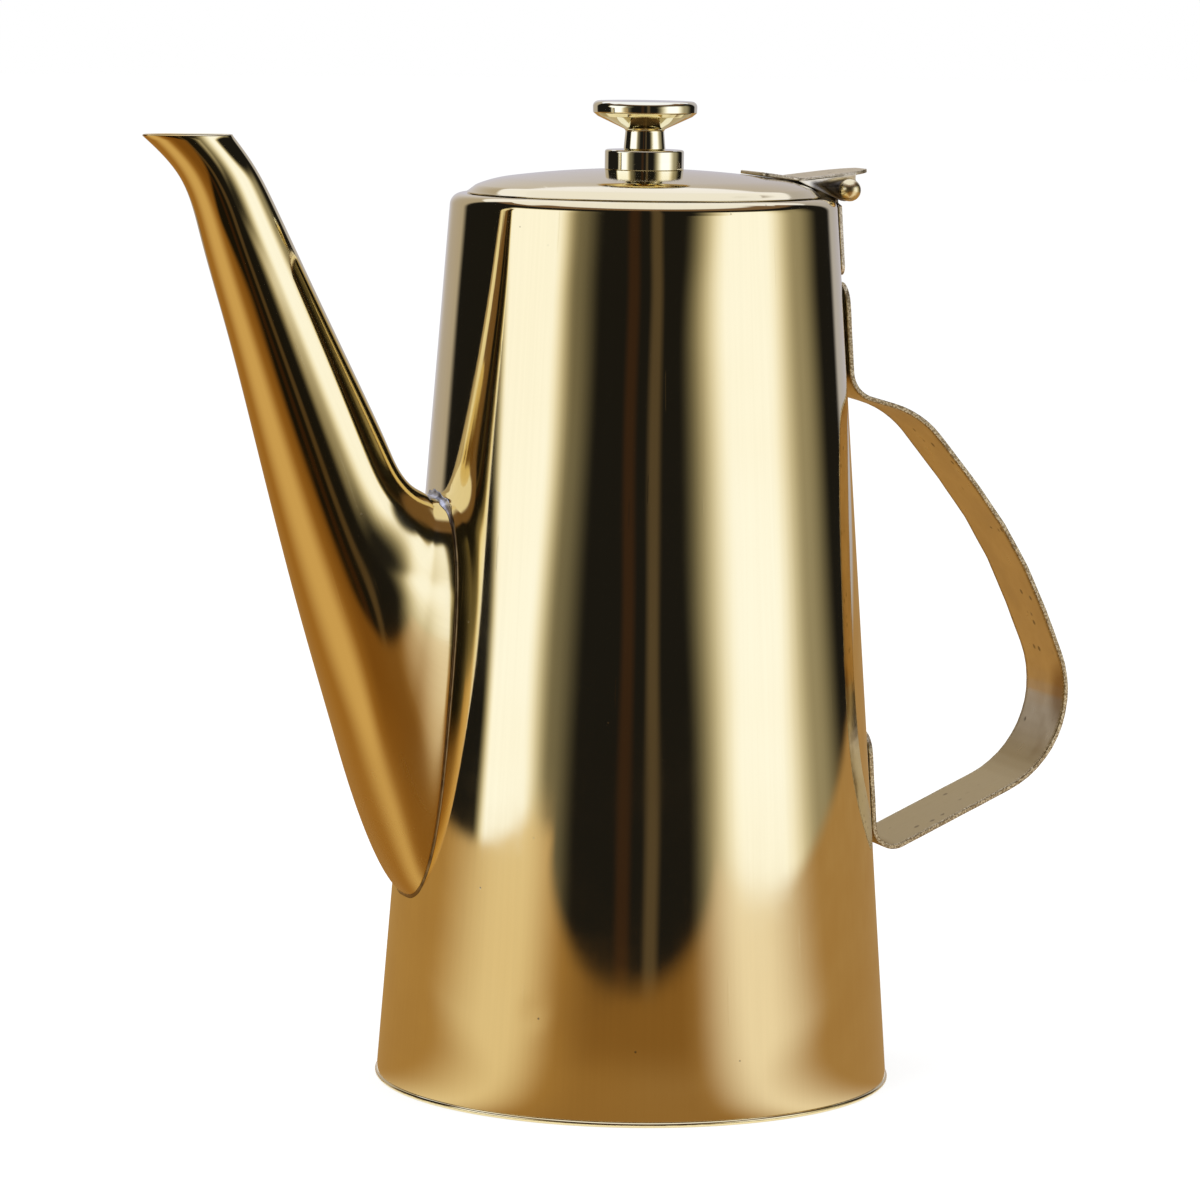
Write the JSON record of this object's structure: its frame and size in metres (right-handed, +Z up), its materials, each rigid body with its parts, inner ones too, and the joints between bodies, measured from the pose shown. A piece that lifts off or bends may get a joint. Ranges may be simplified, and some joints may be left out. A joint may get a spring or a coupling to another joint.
{
  "type": "coffee pot",
  "caption": "Tall tapered gold-toned metal coffee pot with a long slender spout, a bent strap handle and a hinged domed lid with a turned knob.",
  "frame": {"origin": "centre of the base ring, on the surface the pot stands on", "axes": "+Z up along the pot's axis, +X towards the handle, -X towards the spout, XZ the plane of symmetry"},
  "size_m": [0.2252, 0.1206, 0.2281],
  "materials": {
    "gold_mirror_steel": "mirror-polished stainless sheet with a thin gold-toned coating",
    "gold_satin_strap": "satin gold-toned strap with bright sheared edges",
    "bare_weld": "grey uncoated weld metal",
    "plain_steel": "plain drawn and turned steel"
  },
  "bodies": {
    "pot": {"base_disc": "gold_mirror_steel", "body_shell": "gold_mirror_steel", "bracket_spot_welds": "bare_weld", "handle_spot_welds": "bare_weld", "handle_strap": "gold_satin_strap", "hinge_bracket": "gold_satin_strap", "hinge_pin": "plain_steel", "pin_ball_ends": "gold_mirror_steel", "spout": "gold_mirror_steel", "spout_weld_bead": "bare_weld"},
    "lid": {"knob_collar": "gold_mirror_steel", "knob_head": "gold_mirror_steel", "knob_screw": "plain_steel", "leaf_spot_welds": "bare_weld", "lid_dome": "gold_mirror_steel", "lid_leaf": "gold_satin_strap", "lid_skirt": "gold_mirror_steel", "screw_washer": "plain_steel"}
  },
  "joints": [
    {"name": "lid_hinge", "type": "hinge", "parent": "pot", "child": "lid", "pos_m": [0.04689, 0, 0.208], "axis": [0, 1, 0], "range_deg": [0, 110]}
  ]
}
